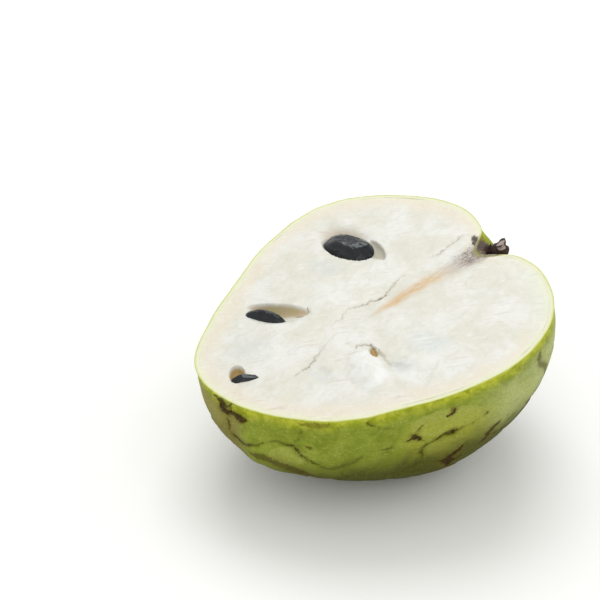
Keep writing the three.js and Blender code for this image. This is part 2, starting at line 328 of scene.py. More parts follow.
def scatter(number):
    """A repeatable value from -1 to 1 for a whole number."""
    spread = np.sin(number * 12.9898) * 43758.5453
    return 2 * (spread - np.floor(spread)) - 1


def ripple(points, wavelength, seed, waves=9):
    """Smooth unevenness of about -1 to 1: the sum of sine waves in random directions, divided by the
    square root of their number."""
    rng = np.random.default_rng(seed)
    ways = rng.normal(size=(waves, points.shape[-1]))
    ways /= np.linalg.norm(ways, axis=1, keepdims=True)
    ways *= 2 * math.pi / (wavelength * rng.uniform(0.7, 1.4, (waves, 1)))
    phases = rng.uniform(0, 2 * math.pi, waves)
    return np.sin(points @ ways.T + phases).sum(-1) / math.sqrt(waves)


def smoothstep(value, low, high):
    """0 below low, 1 above high, and 3t^2 - 2t^3 between."""
    t = np.clip((value - low) / (high - low), 0, 1)
    return t * t * (3 - 2 * t)


def curve_through(points, per_span=6):
    """Points close together on a Catmull-Rom curve through a few points, with its ends mirrored."""
    points = np.asarray(points, float)
    last = len(points) - 1
    position = np.linspace(0, last, last * per_span + 1)
    padded = np.vstack([2 * points[0] - points[1], points, 2 * points[-1] - points[-2], points[-1]])
    columns = [smooth_through(lambda i, column=column: column[i + 1], position) for column in padded.T]
    return np.stack(columns, -1)


def gap_to_curve(points, curve, width, shade):
    """(distance from each point to a curve over the curve's half width there, the curve's shade there)."""
    reach = STROKE_REACH * width.max()
    near = np.all((points > curve.min(0) - reach) & (points < curve.max(0) + reach), axis=-1)
    gap = np.full(points.shape[:-1], STROKE_REACH)
    reached = np.zeros(points.shape[:-1])
    step = np.diff(curve, axis=0)
    apart = points[near][:, None, :] - curve[:-1]
    share = np.clip((apart * step).sum(-1) / (step**2).sum(-1), 0, 1)
    away = np.linalg.norm(apart - share[..., None] * step, axis=-1)
    gaps = away / (width[:-1] + share * np.diff(width))
    nearest = gaps.argmin(1)
    gap[near] = np.minimum(gaps.min(1), STROKE_REACH)
    reached[near] = shade[nearest]
    return gap, reached


def along_stroke(given, share):
    """Values at shares of the way along a stroke, from one value or from one for each of its points."""
    steps = np.atleast_1d(given).astype(float)
    return np.interp(share, np.linspace(0, 1, len(steps)), steps)


def stroke_gaps(points, strokes, bend_to_surface=None):
    """(gap to the nearest stroke in units of its half width, that stroke's darkness there).

    A stroke of one width tapers to an eighth of it at both ends, and the points are shifted a little
    unevenly before they are measured, which frays its edges.
    """
    seeds = (43, 44, 45)[: points.shape[-1]]
    shift = [ripple(points, 3, seed) + 0.7 * ripple(points, 1.1, seed + 9) for seed in seeds]
    frayed = points + 0.25 * np.stack(shift, -1)
    nearest = np.full(points.shape[:-1], STROKE_REACH)
    dark = np.zeros(points.shape[:-1])
    for along, given_width, given_dark in strokes:
        curve = curve_through(along)
        share = np.linspace(0, 1, len(curve))
        width = along_stroke(given_width, share)
        if np.isscalar(given_width):
            width = width * (0.125 + 0.875 * np.sin(math.pi * share) ** 0.6)
        shade = along_stroke(given_dark, share)
        if bend_to_surface:
            curve = bend_to_surface(curve)
        gap, reached = gap_to_curve(frayed, curve, width, shade)
        dark = np.where(gap < nearest, reached, dark)
        nearest = np.minimum(nearest, gap)
    return nearest, dark


def from_place(u, v, at, heading):
    """(way ahead, way to the side) from a place that faces a heading in degrees."""
    turn = math.radians(heading)
    along = (u - at[0]) * math.cos(turn) + (v - at[1]) * math.sin(turn)
    aside = (v - at[1]) * math.cos(turn) - (u - at[0]) * math.sin(turn)
    return along, aside


def in_ellipse(u, v, at, half, heading):
    """Squared share of the way from the middle of a turned ellipse to its edge."""
    along, aside = from_place(u, v, at, heading)
    return (along / half[0]) ** 2 + (aside / half[1]) ** 2


# Meshes


def closed_tube(name, rings, first_pole, last_pole, marks=None):
    """A closed mesh from a grid of points (rings x points round), with a pole at each end.

    marks holds named values for every point: the poles' values are copied from the rings beside them.
    """
    count, size = rings.shape[:2]
    points = np.vstack([rings.reshape(-1, 3), first_pole, last_pole])
    at = np.arange(count * size).reshape(count, size)
    after = np.roll(at, -1, axis=1)
    quads = np.stack([at[:-1], after[:-1], after[1:], at[1:]], -1).reshape(-1, 4)
    first = np.stack([np.full(size, count * size), after[0], at[0]], -1)
    last = np.stack([np.full(size, count * size + 1), at[-1], after[-1]], -1)
    caps = np.vstack([first, last])
    named = {key: np.concatenate([v.reshape(-1), v[0, :1], v[-1, :1]]) for key, v in (marks or {}).items()}
    return mesh_object(name, points, [quads, caps], named)


def mesh_object(name, points, face_lists, marks):
    """A smooth mesh object in the row frame from millimetre points, turned the right way out."""
    places = in_row_frame(points)
    a, b, c = (places[face_lists[0][:, k]] for k in (0, 1, 2))
    d = places[face_lists[0][:, -1]]
    inside_out = (a * np.cross(b, c)).sum() + (a * np.cross(c, d)).sum() < 0
    if inside_out:
        face_lists = [faces[:, ::-1] for faces in face_lists]
    mesh = bpy.data.meshes.new(name)
    mesh.vertices.add(len(places))
    mesh.vertices.foreach_set("co", places.ravel())
    corners = np.concatenate([faces.ravel() for faces in face_lists])
    sizes = np.concatenate([np.full(len(faces), faces.shape[1]) for faces in face_lists])
    mesh.loops.add(len(corners))
    mesh.loops.foreach_set("vertex_index", corners)
    mesh.polygons.add(len(sizes))
    mesh.polygons.foreach_set("loop_start", np.concatenate([[0], np.cumsum(sizes)[:-1]]))
    mesh.polygons.foreach_set("use_smooth", np.ones(len(sizes), bool))
    mesh.update(calc_edges=True)
    mesh.set_sharp_from_angle(angle=HARD_EDGE)
    for key, values in marks.items():
        mesh.attributes.new(key, "FLOAT", "POINT").data.foreach_set("value", values.astype(np.float32))
    piece = bpy.data.objects.new(name, mesh)
    bpy.context.scene.collection.objects.link(piece)
    return piece


def dress(piece, node, material):
    """Gives a piece its material, lets it ride with the fruit and stand for its plain solid."""
    piece.data.materials.append(material)
    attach(piece, "root")
    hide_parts(node)


# The cut face


def cut_waves(u, v):
    """How the knife's cut rises and falls: broad waves and a finer unevenness."""
    place = np.stack([u, v], -1)
    return 0.16 * ripple(place, 40, 3) + 0.07 * ripple(place, 9, 4) + 0.025 * ripple(place, 3, 5)


def core_drift(u):
    """Sideways place of the core's middle: the square of the way from its top to its tip."""
    share = np.clip((CORE_TOP - u) / (CORE_TOP - CORE_TIP), 0, 1)
    return CORE_DRIFT * share**2


def core_half_width(u):
    """Half width of the core: a power of the way from its tip to its top."""
    share = np.clip((u - CORE_TIP) / (CORE_TOP - CORE_TIP), 0, 1)
    return CORE_TIP_RADIUS + (CORE_RADIUS - CORE_TIP_RADIUS) * share**CORE_FULLNESS


def core_trough(u, v):
    """How far the flesh gives way under the core, from nothing at the core's edge."""
    aside = abs(v - core_drift(u)) - core_half_width(u)
    return 0.12 * smoothstep(-aside, 0.2, 1.8)


def dent_depths(u, v):
    """(depths, ways to the far side) of the dents.

    A depth is the dent's depth times (1 - squared share of the way to its edge) to a power that goes
    over from the near side's to the far side's across its middle.
    """
    depths = {}
    asides = {}
    for name, (at, half, heading, depth, (far, near)) in DENTS.items():
        aside = from_place(u, v, at, heading)[1]
        across = np.where(aside > 0, half[1], half[2])
        inside = np.clip(1 - in_ellipse(u, v, at, (half[0], across), heading), 0, 1)
        power = near + (far - near) * smoothstep(aside / across, -0.4, 0.4)
        depths[name] = depth * inside**power
        asides[name] = aside
    return depths, asides


def face_height(u, v):
    """Height of the cut flesh: the cut's waves less its dents and cracks."""
    depths = [*dent_depths(u, v)[0].values(), 0 * u]
    gap, dark = stroke_gaps(np.stack([u, v], -1), CRACKS)
    crack = 0.45 * dark * np.exp(-(gap**2))
    return cut_waves(u, v) - np.maximum.reduce(depths) - np.minimum.reduce(depths) - crack


def face_marks(u, v, inset):
    """What the flesh's material reads: the distance from the rim, and how strongly each tint shows."""
    place = np.stack([u, v], -1)
    depths, asides = dent_depths(u, v)
    gap, dark = stroke_gaps(place, CRACKS)
    middle = 0.8 * np.sin(u / 9) + 0.6 + 0.35 * ripple(place, 10, 11)
    half = 3.4 * np.clip((u + 3) / 44, 0.002, 1) ** 0.6
    streak = np.exp(-(abs((v - middle) / half) ** 2.4))
    torn = 1 - in_ellipse(u, v, *TORN_SPOT)
    angle = np.degrees(np.arctan2(v, u)) % 360
    cool = [strength * np.clip(1 - in_ellipse(u, v, *spot), 0, 1) for *spot, strength in COOL_PATCHES]
    return {
        "inset": inset,
        "tan": streak * (1 - 0.8 * smoothstep(u, 22, 34)) * smoothstep(u, -3, 10),
        "plum": streak * smoothstep(u, 24, 41),
        "fleck": np.exp(-(abs((v - 0.5) / 4.2) ** 4)) * smoothstep(u + 0.5 * v, 33, 41),
        # The far wall of the long hollow, for a painted tan shade where it faces away from the light.
        "wall": smoothstep(depths["long hollow"], 0.2, 1.2) * smoothstep(asides["long hollow"], -0.6, 1.2),
        "amber": smoothstep(depths["amber hollow"] + 1.6 * depths["lost seed's pit"], 0.3, 1.4),
        # The dish over the flat seed, for a painted warm grey shadow cast by the pocket's wall.
        "shade": smoothstep(depths["dish over the flat seed"], 0.1, 1.4),
        # The tail of the flat seed's socket, for a painted grey shade on its steep wall.
        "socket": smoothstep(depths["tail of the socket"], 0.2, 1.0),
        "white": smoothstep(-depths["white bulge"] + 0.25 * ripple(place, 5, 12), 0.1, 0.9),
        "cool": np.maximum.reduce(cool),
        "torn": torn + 0.2 * ripple(place, 1.5, 13),
        "far_side": np.exp(-(((angle - 327) / 20) ** 2)),
        "crack_gap": gap,
        "crack_dark": dark,
    }


def square_to_disc(cells):
    """A square grid bent to a disc: rings of the square become rings of the disc, the last one narrow.
    Gives angles and radii."""
    edge = np.concatenate([[-1], np.linspace(-0.9993, 0.9993, cells - 1), [1]])
    a, b = np.meshgrid(edge, edge, indexing="ij")
    wide = abs(a) >= abs(b)
    long_side = np.where(wide, a, b)
    short_side = np.where(wide, b, a)
    turn = np.divide(short_side, long_side, out=np.zeros_like(a), where=long_side != 0) * math.pi / 4
    angle = np.where(wide, turn, math.pi / 2 - turn) + np.where(long_side < 0, math.pi, 0)
    return angle % (2 * math.pi), abs(long_side)


def make_flesh():
    """The flesh: a disc for the cut face, scaled to the rim and shaped by face_height, and rings of the
    body's own shape that run down from the rim to the bottom, a hair outside the skin's inner wall."""
    cells = 288
    depth = SKIN_THICKNESS - OVERLAP
    angle, share = square_to_disc(cells)
    rim = body_radius(directions_at(angle, np.zeros_like(angle))) - depth
    u, v = rim * share * np.cos(angle), rim * share * np.sin(angle)
    inset = rim * (1 - share)
    w = np.where(share < 1, face_height(u, v) - core_trough(u, v), cut_waves(u, v))
    top = np.stack([u, v, w], -1)

    number = np.arange((cells + 1) ** 2).reshape(cells + 1, cells + 1)
    quads = np.stack([number[:-1, :-1], number[1:, :-1], number[1:, 1:], number[:-1, 1:]], -1)
    border = np.concatenate([number[:-1, 0], number[-1, :-1], number[:0:-1, -1], number[0, :0:-1]])
    below = np.radians([0.04, 2, 6, 12, 20, 30, 42, 56, 72])
    directions = directions_at(angle.ravel()[border][None, :], below[:, None])
    radius = level_at_rest(body_radius(directions) - depth, directions, depth)
    walls = directions * radius[..., None]
    pole = directions_at(0, math.pi / 2)
    pole = pole * (level_at_rest(body_radius(pole), pole, 0) - depth)

    points = np.vstack([top.reshape(-1, 3), walls.reshape(-1, 3), pole])
    lower = number.size + np.arange(len(walls) * len(border)).reshape(walls.shape[:2])
    rings = np.vstack([border, lower])
    after = np.roll(rings, -1, axis=1)
    sides = np.stack([rings[:-1], rings[1:], after[1:], after[:-1]], -1).reshape(-1, 4)
    bottom = np.stack([rings[-1], np.full(len(border), len(points) - 1), after[-1]], -1)
    spare = np.zeros(len(points) - number.size)
    marks = {key: np.concatenate([m.ravel(), spare]) for key, m in face_marks(u, v, inset).items()}
    return mesh_object("cut_flesh", points, [np.vstack([quads.reshape(-1, 4), sides]), bottom], marks)


def make_core():
    """The core: D-shaped sections with a flat top along the stem axis, from the tip to the bottom of the
    cavity, closed there by sections that shrink to the middle."""
    stations, across, closing = 200, 26, 6
    top = np.linspace(1, -1, across, endpoint=False)
    low = np.linspace(math.pi, 2 * math.pi, across, endpoint=False)
    side = np.concatenate([top, np.cos(low)])
    deep = np.concatenate([np.zeros(across), np.sin(low)])
    share = np.concatenate([np.linspace(0.002, 1, stations), np.ones(closing)])[:, None]
    shrink = np.concatenate([np.ones(stations), np.linspace(0.85, 0.1, closing)])[:, None]
    half = core_half_width(CORE_TIP + (CORE_TOP - CORE_TIP) * share)
    v = half * side * shrink
    w = half * (deep * shrink - 0.4 * (1 - shrink))
    towards = np.stack([np.full_like(v, 44.0), v, np.minimum(w, 0)], -1)
    towards /= np.linalg.norm(towards, axis=-1, keepdims=True)
    torn = 0.35 + 0.3 * ripple(np.stack([v, w], -1), 2.2, 21)
    floor = body_radius(towards) * towards[..., 0] + torn
    u = CORE_TIP + (floor - CORE_TIP) * share
    v = v + core_drift(u)
    on_top = (deep > -1e-9) & (shrink == 1)
    w = np.where(on_top, cut_waves(u, v) - 0.03, w)
    rings = np.stack([u, v, w], -1)
    marks = face_marks(u, v, np.full(u.shape, 20.0))
    marks["end"] = smoothstep(share + 0 * u, 0.985, 1)
    return closed_tube("cut_core", rings, rings[0].mean(0), rings[-1].mean(0), marks)


# The skin


def plate_centres():
    """Middles of the plates as unit vectors, in a golden-angle spiral from the stem to the blossom end."""
    numbers = np.arange(PLATE_COUNT)
    along = np.clip(1 - (2 * numbers + 1 + PLATE_SHIFT * scatter(numbers)) / PLATE_COUNT, -1, 1)
    around = numbers * GOLDEN_ANGLE + PLATE_SHIFT * scatter(numbers + PLATE_COUNT)
    ring = np.sqrt(1 - along**2)
    return np.stack([along, ring * np.cos(around), ring * np.sin(around)], -1)


def plate_marks(directions, radius):
    """(distance to the nearest visible plate edge, distance in from the owner's edge, tone of the owner).

    Each point belongs to the plate nearest the stem that covers it. The edges that show near it are its
    own plate's and those of the plates before it.
    """
    bend = 0.035 * np.stack([ripple(directions, 0.5, seed) for seed in (31, 32, 33)], -1)
    bent = directions + bend
    bent /= np.linalg.norm(bent, axis=-1, keepdims=True)
    outside = np.arccos(np.clip(bent @ plate_centres().T, -1, 1)) * radius[..., None] - PLATE_RADIUS
    owner = np.argmax(outside < 0, axis=-1)
    inside = np.maximum(-np.take_along_axis(outside, owner[..., None], -1)[..., 0], 0)
    before = np.where(np.arange(PLATE_COUNT) < owner[..., None], outside, np.inf).min(-1)
    return np.minimum(inside, before), inside, scatter(owner * 3 + 1)


def on_skin(angles):
    """Points on the smooth skin at angles round and down, in degrees."""
    around, below = np.radians(angles).T
    directions = directions_at(around, below)
    return directions * body_radius(directions)[:, None]


def hidden_scars():
    """Short scars scattered over the sides that the front's scars leave bare, in the same form as SCARS."""
    rng = np.random.default_rng(41)
    scars = []
    for _ in range(HIDDEN_SCARS):
        around, below = rng.uniform(-35, 160), rng.uniform(4, 65)
        turn = rng.uniform(-1, 1)
        along = [(around + k * 4 * math.cos(turn), below + k * 4 * math.sin(turn)) for k in (0, 0.6, 1.2)]
        scars.append((along, rng.uniform(0.6, 1.4), rng.uniform(0.5, 1)))
    return scars


def pale_marks(points):
    """How pale the skin is: soft-edged ellipses round the middles of the pale plates."""
    strength = np.zeros(len(points))
    for at, half, pale in PALE_PLATES:
        centre = on_skin(np.array([at]))[0]
        out = centre / np.linalg.norm(centre)
        sideways = np.cross([0, 0, 1], out)
        sideways /= np.linalg.norm(sideways)
        apart = points - centre
        along = apart @ sideways / half[0]
        steep = apart @ np.cross(out, sideways) / half[1]
        strength = np.maximum(strength, pale * smoothstep(1.15 - np.hypot(along, steep), 0, 0.3))
    return strength


def skin_relief(around, below, directions, smooth, outside):
    """(how far the skin is pressed in, what its material reads), at angles round and down in degrees.

    Plates press it in by bells of the distance in from their edges, lines and scars by bells of the
    gap to them, and ripples swell it. In front the drawn lines take the place of the plates' edges.
    """
    surface = directions * smooth[..., None]
    border, inside, tone = plate_marks(directions, smooth)
    line_gap, line_dark = stroke_gaps(surface, PLATE_LINES, on_skin)
    scar_gap, scar_dark = stroke_gaps(surface, SCARS + hidden_scars(), on_skin)
    front = smoothstep(around, 150, 172) * (1 - smoothstep(around, 305, 325))
    front = front * (1 - smoothstep(below, 45, 60))
    aside = np.where(directions[..., 0] > 0, smooth * np.hypot(directions[..., 1], directions[..., 2]), 99)
    calm = smoothstep(aside, CAVITY_RADIUS, 3 * CAVITY_RADIUS) * outside

    edges = np.exp(-((border / 0.6) ** 2)) * (1 - 0.85 * front) * calm
    dip = 0.3 * calm * np.exp(-((inside / 2.6) ** 2)) + 0.22 * edges
    dip += 0.3 * line_dark * np.exp(-(line_gap**2)) + 0.2 * scar_dark * np.exp(-(scar_gap**2))
    swell = 0.22 * calm * (ripple(surface, 26, 51) - 1) + 0.06 * calm * ripple(surface, 6, 52)
    marks = {
        "below": -surface[..., 2],
        "border": np.minimum(border, 6) + 6 * front * calm,
        "tone": 0.5 + 0.5 * tone * (1 - 0.8 * front),
        "line_gap": line_gap,
        "line_dark": line_dark,
        "scar_gap": scar_gap,
        "scar_dark": scar_dark,
        "pale": pale_marks(surface.reshape(-1, 3)).reshape(smooth.shape),
        "around": around + 0 * smooth,
        "stem": 1 - smoothstep(aside, 4, 10),
    }
    return np.where(outside, dip - swell, 0), marks


def make_skin():
    """The rind: rings that run up its inner wall, across the cut edge and down the outside, each at its
    own angle below the face and depth under the skin."""
    columns, rows = 556, 158
    even = np.linspace(0, 2 * math.pi, columns, endpoint=False)
    around = (even - 0.3 * np.sin(even - math.radians(285)))[None, :]
    wall = [80, 55, 30, 8, 0.04]
    edge_depths = [SKIN_THICKNESS, SKIN_THICKNESS - OVERLAP, 1.0, 0.5, 0.22, 0.06]
    outer = 0.25 + 89.2 * (np.arange(rows) / rows) ** 1.15
    below = np.radians(np.concatenate([wall, [0] * len(edge_depths), [0.07], outer]))[:, None]
    depth = np.concatenate([[SKIN_THICKNESS] * len(wall), edge_depths, np.zeros(rows + 1)])[:, None]
    directions = directions_at(around, below)
    smooth = body_radius(directions)
    turn = np.degrees(around) % 360
    pressed, marks = skin_relief(turn, np.degrees(below), directions, smooth, depth == 0)
    marks["sunk"] = depth + 0 * smooth

    radius = level_at_rest(smooth - depth - pressed, directions, depth)
    points = directions * radius[..., None]
    fade = np.clip(1 + points[..., 2] / 8, 0, 1)
    points[..., 2] += fade * cut_waves(points[..., 0], points[..., 1])
    low = directions_at(0, math.pi / 2)
    outer_pole = low * level_at_rest(body_radius(low), low, 0)
    inner_pole = outer_pole * (1 - SKIN_THICKNESS / np.linalg.norm(outer_pole))
    return closed_tube("rind", points, inner_pole, outer_pole, marks)


# Ring and seeds


def make_ring():
    """The corky ring: a tube round the stem axis that swells and shrinks in knobs and is cut at both ends
    by one tilted plane, which leaves its end on the -v side standing above the face."""
    stations, around, caps = 150, 48, 8
    s = np.linspace(0, 2 * math.pi, around, endpoint=False)[None, :]
    away = SCAR_RADIUS + SCAR_THICKNESS * np.cos(s)
    reach = np.arccos(-SCAR_LIFT * math.cos(SCAR_SLOPE) / away)
    share = np.concatenate([np.zeros(caps), np.linspace(0, 1, stations), np.ones(caps)])[:, None]
    closing = np.linspace(0.06, 0.94, caps)
    shrink = np.concatenate([closing, np.ones(stations), closing[::-1]])
    t = SCAR_SLOPE - reach + 2 * reach * share
    knobs = 1 + 0.2 * np.sin(9 * t) + 0.12 * np.sin(5 * t + 1)
    round_tube = [SCAR_THICKNESS * (wave(s) + 0 * t) for wave in (np.cos, np.sin)]
    spot = np.stack([t * SCAR_RADIUS, *round_tube], -1)
    rough = 1 + 0.09 * ripple(spot, 2.2, 61) + 0.05 * ripple(spot, 0.9, 62)
    thick = SCAR_THICKNESS * knobs * rough
    away = SCAR_RADIUS + thick * np.cos(s)
    flat = np.stack([thick * np.sin(s), away * np.sin(t), -away * np.cos(t)], -1)
    lid = SCAR_LIFT + np.tan(SCAR_SLOPE) * flat[..., 1] + 0.15 * ripple(flat, 1.3, 63)
    flat[..., 2] = np.minimum(flat[..., 2], lid)
    middle = flat.mean(1, keepdims=True)
    flat = middle + (flat - middle) * shrink[:, None, None]
    turn = np.array(Matrix.Rotation(SCAR_TURN, 3, "Z"))
    rings = flat @ turn.T + SCAR_AT
    end = SCAR_RADIUS * math.sin(SCAR_SLOPE - math.acos(-SCAR_LIFT * math.cos(SCAR_SLOPE) / SCAR_RADIUS))
    inner = 1 - np.hypot((flat[..., 0] + 0.5) / 1.6, (flat[..., 1] - end + 0.5) / 1.7)
    marks = {"fibres": smoothstep(inner, 0, 0.35) * smoothstep(-t, 1.1, 1.3)}
    return closed_tube("corky_ring", rings, rings[0].mean(0), rings[-1].mean(0), marks)


def make_seed(name, half, at, roll, dip, heading, bend, seed):
    """A seed: a ball flattened by soft planes, with shallow pits, stretched to its half sizes and bent
    like a bean, then rolled, dipped, headed and put in its place.

    The soft planes make its radius (1 + sum of (way along the plane's facing / distance)^9)^(-1/9).
    """
    stations, around = 110, 96
    tilt = np.linspace(0, math.pi, stations + 2)[1:-1, None]
    s = np.linspace(0, 2 * math.pi, around, endpoint=False)[None, :]
    ball = np.stack([-np.cos(tilt) + 0 * s, np.sin(tilt) * np.cos(s), np.sin(tilt) * np.sin(s)], -1)
    pressed = sum(np.maximum(ball @ np.array(facing) / reach, 0) ** 9 for facing, reach in SEED_FACETS)
    radius = (1 + pressed) ** (-1 / 9)
    for towards, reach, depth in SEED_PITS:
        middle = np.array(towards) / np.linalg.norm(towards)
        radius = radius - depth * np.exp(-(((ball - middle) ** 2).sum(-1)) / reach**2)
    radius = radius * (1 + 0.03 * ripple(ball, 0.8, seed) + 0.008 * ripple(ball, 0.25, seed + 1))
    x, y, z = np.moveaxis(ball * radius[..., None], -1, 0)
    taper = 1 + 0.16 * x
    egg = np.stack([x * half[0], y * half[1] * taper + bend * (x**2 - 0.3), z * half[2] * taper], -1)
    pose = (
        Matrix.Rotation(math.radians(heading), 3, "Z")
        @ Matrix.Rotation(math.radians(dip), 3, "Y")
        @ Matrix.Rotation(math.radians(roll), 3, "X")
    )
    rings = egg @ np.array(pose).T + np.array(at)
    return closed_tube(f"black_{name}", rings, rings[0].mean(0), rings[-1].mean(0))


# Materials


def paint(code):
    """Linear colour of a six-figure screen colour."""
    shares = [int(code[i : i + 2], 16) / 255 for i in (0, 2, 4)]
    return [*(s / 12.92 if s <= 0.04045 else ((s + 0.055) / 1.055) ** 2.4 for s in shares), 1.0]


class Finish:
    """One material and short calls that add and join its nodes."""

    def __init__(self, name, **settings):
        self.material = bpy.data.materials.new(name)
        self.material.use_nodes = True
        self.nodes = self.material.node_tree.nodes
        self.shader = self.nodes["Principled BSDF"]
        for socket, value in settings.items():
            self.shader.inputs[socket.replace("_", " ").title().replace("Ior", "IOR")].default_value = value
        self.coordinates = self.nodes.new("ShaderNodeTexCoord").outputs["Object"]

    def join(self, source, socket):
        """Sets a socket to a number or colour, or links an output to it."""
        if isinstance(source, bpy.types.NodeSocket):
            self.material.node_tree.links.new(source, socket)
        else:
            socket.default_value = source

    def add(self, kind, **inputs):
        """A new node with these inputs, in whose names an underscore stands for a space."""
        node = self.nodes.new("ShaderNode" + kind)
        for name, source in inputs.items():
            self.join(source, node.inputs[name.replace("_", " ")])
        return node

    def mark(self, name):
        """The value that the mesh holds under a name."""
        node = self.add("Attribute")
        node.attribute_name = name
        return node.outputs["Fac"]

    def lined_up(self, stretch, turn=0.0):
        """Coordinates for a pattern, stretched along u, v and w, or along these turned about w."""
        node = self.add("Mapping", Vector=self.coordinates, Rotation=(0, -STEM_RISE, turn), Scale=stretch)
        node.vector_type = "TEXTURE"
        return node.outputs["Vector"]

    def noise(self, size, detail=3, rough=0.55, twist=0, where=None):
        """Uneven values from 0 to 1 with features about size millimetres across."""
        settings = dict(Scale=1000 / size, Detail=detail, Roughness=rough, Distortion=twist)
        return self.add("TexNoise", Vector=where or self.coordinates, **settings).outputs["Fac"]

    def cells(self, size):
        """Distance to the nearest of many points about size millimetres apart."""
        return self.add("TexVoronoi", Vector=self.coordinates, Scale=1000 / size).outputs["Distance"]

    def span(self, value, low, high, start=0.0, end=1.0):
        """start where the value is at or under low, end at or over high, and smooth between."""
        node = self.add("MapRange", Value=value, From_Min=low, From_Max=high, To_Min=start, To_Max=end)
        node.interpolation_type = "SMOOTHSTEP"
        return node.outputs["Result"]

    def sum(self, kind, first, second):
        """The result of one step of arithmetic."""
        node = self.nodes.new("ShaderNodeMath")
        node.operation = kind
        self.join(first, node.inputs[0])
        self.join(second, node.inputs[1])
        return node.outputs[0]

    def times(self, *values):
        total = values[0]
        for value in values[1:]:
            total = self.sum("MULTIPLY", total, value)
        return total

    def plus(self, *values):
        total = values[0]
        for value in values[1:]:
            total = self.sum("ADD", total, value)
        return total

    def sway(self, value, size):
        """Half the size to either side of 0: (value - 0.5) times the size."""
        return self.times(self.plus(value, -0.5), size)

    def blend(self, share, first, second):
        """first where the share is 0, second where it is 1."""
        node = self.nodes.new("ShaderNodeMix")
        node.data_type = "RGBA"
        self.join(share, node.inputs["Factor"])
        self.join(first, node.inputs["A"])
        self.join(second, node.inputs["B"])
        return node.outputs["Result"]

    def bump(self, height, millimetres):
        """Lets the shading follow a height from 0 to 1, as deep as these millimetres."""
        node = self.add("Bump", Height=height, Distance=millimetres / 1000, Strength=1)
        self.join(node.outputs["Normal"], self.shader.inputs["Normal"])

    def mixed(self, code, other, where):
        """One paint, or two that are mixed by the share of the other."""
        return self.blend(where, paint(code), paint(other)) if other else paint(code)

    def base(self, code, other=None, where=None):
        """Starts the colour with such a paint."""
        self.colour = self.mixed(code, other, where)

    def tint(self, share, code, other=None, where=None):
        """Lays a share of such a paint over the colour so far."""
        self.colour = self.blend(share, self.colour, self.mixed(code, other, where))

    def finish(self, roughness):
        self.join(self.colour, self.shader.inputs["Base Color"])
        self.join(roughness, self.shader.inputs["Roughness"])
        return self.material


def tint_sides(f, cloud, mottle):
    """Olive in front, sage at the right and tan at the left, each a product of steps in the angle round
    and in the depth below the face, then the lime edge and a painted shade that darkens the skin towards
    the bottom, whose strength it returns. The sage is its own pale colour with a painted grazing sheen,
    the tan its own colour with a painted reflection of the floor and painted shade lower down."""
    around = f.mark("around")
    below = f.mark("below")
    olive = f.times(f.span(around, 236, 250), f.span(around, 284, 296, 1, 0), f.span(below, 6, 14))
    f.tint(f.times(olive, f.span(cloud, 0.3, 0.6, 0.25, 0.7)), "A6A535")
    # Sage at the right: the skin's own pale colour with a painted grazing sheen where it turns away.
    sage = f.times(f.span(around, 268, 294), f.span(around, 335, 350, 1, 0), f.span(below, 1, 8))
    f.tint(f.times(sage, f.span(cloud, 0.25, 0.6, 0.55, 0.95)), "B6BD80")
    # Tan at the left: its own colour with a painted reflection of the floor, turning darker lower down as
    # painted shade.
    tan = f.times(f.span(around, 155, 166), f.span(around, 177, 188, 1, 0), f.span(below, 0.5, 4))
    uneven_tan = f.times(tan, f.span(mottle, 0.3, 0.6, 0.75, 0.95))
    f.tint(uneven_tan, "8B7E40", "6F5B22", f.span(below, 5, 16))

    edge = f.plus(below, f.sway(f.noise(6, 3), 4))
    bare = f.times(f.span(sage, 0.2, 1, 0.95, 0.4), f.span(tan, 0, 0.8, 1, 0.3))
    lime = f.times(f.span(edge, 0.4, 5.5, 1, 0), bare)
    f.tint(lime, "9DA80C", "C4C634", f.span(mottle, 0.35, 0.6))
    # Painted shade: the skin darkens towards the bottom, where it faces the floor.
    low_shade = f.span(f.plus(below, f.sway(cloud, 14), f.sway(mottle, 6)), 15, 30)
    f.tint(f.times(low_shade, 0.96), "2C2500")
    return low_shade


def tint_lines_and_scars(f, mottle, fine):
    """Dark lines where the gap to them, frayed by noise, is small, with a painted soft shade beside them,
    and brown scars with a soft tan edge. Gives the strengths of the lines and the scars."""
    shade_beside_line = f.times(f.span(f.mark("line_gap"), 0.6, 3.8, 0.5, 0), f.mark("line_dark"))
    frayed = f.plus(f.mark("line_gap"), f.sway(fine, 1.0))
    drawn = f.times(f.span(frayed, 0.45, 1.25, 1, 0), f.mark("line_dark"))
    plate_edge = f.times(f.span(f.plus(f.mark("border"), f.sway(fine, 0.8)), 0.25, 0.9, 1, 0), 0.75)
    broken_edge = f.times(plate_edge, f.span(mottle, 0.3, 0.6))
    line = f.sum("MAXIMUM", f.times(drawn, f.span(mottle, 0.25, 0.55, 0.6, 1)), broken_edge)
    # Painted soft shade beside the lines between plates.
    f.tint(shade_beside_line, "5A5C0C")
    f.tint(f.times(line, 0.9), "3E3800")

    torn = f.plus(f.mark("scar_gap"), f.sway(f.noise(1.1, 4, 0.75, 0.8), 2.6))
    scar = f.times(f.span(torn, 0.6, 1.2, 1, 0), f.span(f.mark("scar_dark"), 0.3, 1, 0.35, 1))
    f.tint(f.times(f.span(torn, 0.8, 2.6, 0.5, 0), f.mark("scar_dark")), "655716")
    f.tint(f.times(scar, 0.95), "1F1502", "4A3814", f.span(fine, 0.35, 0.65))
    return line, scar


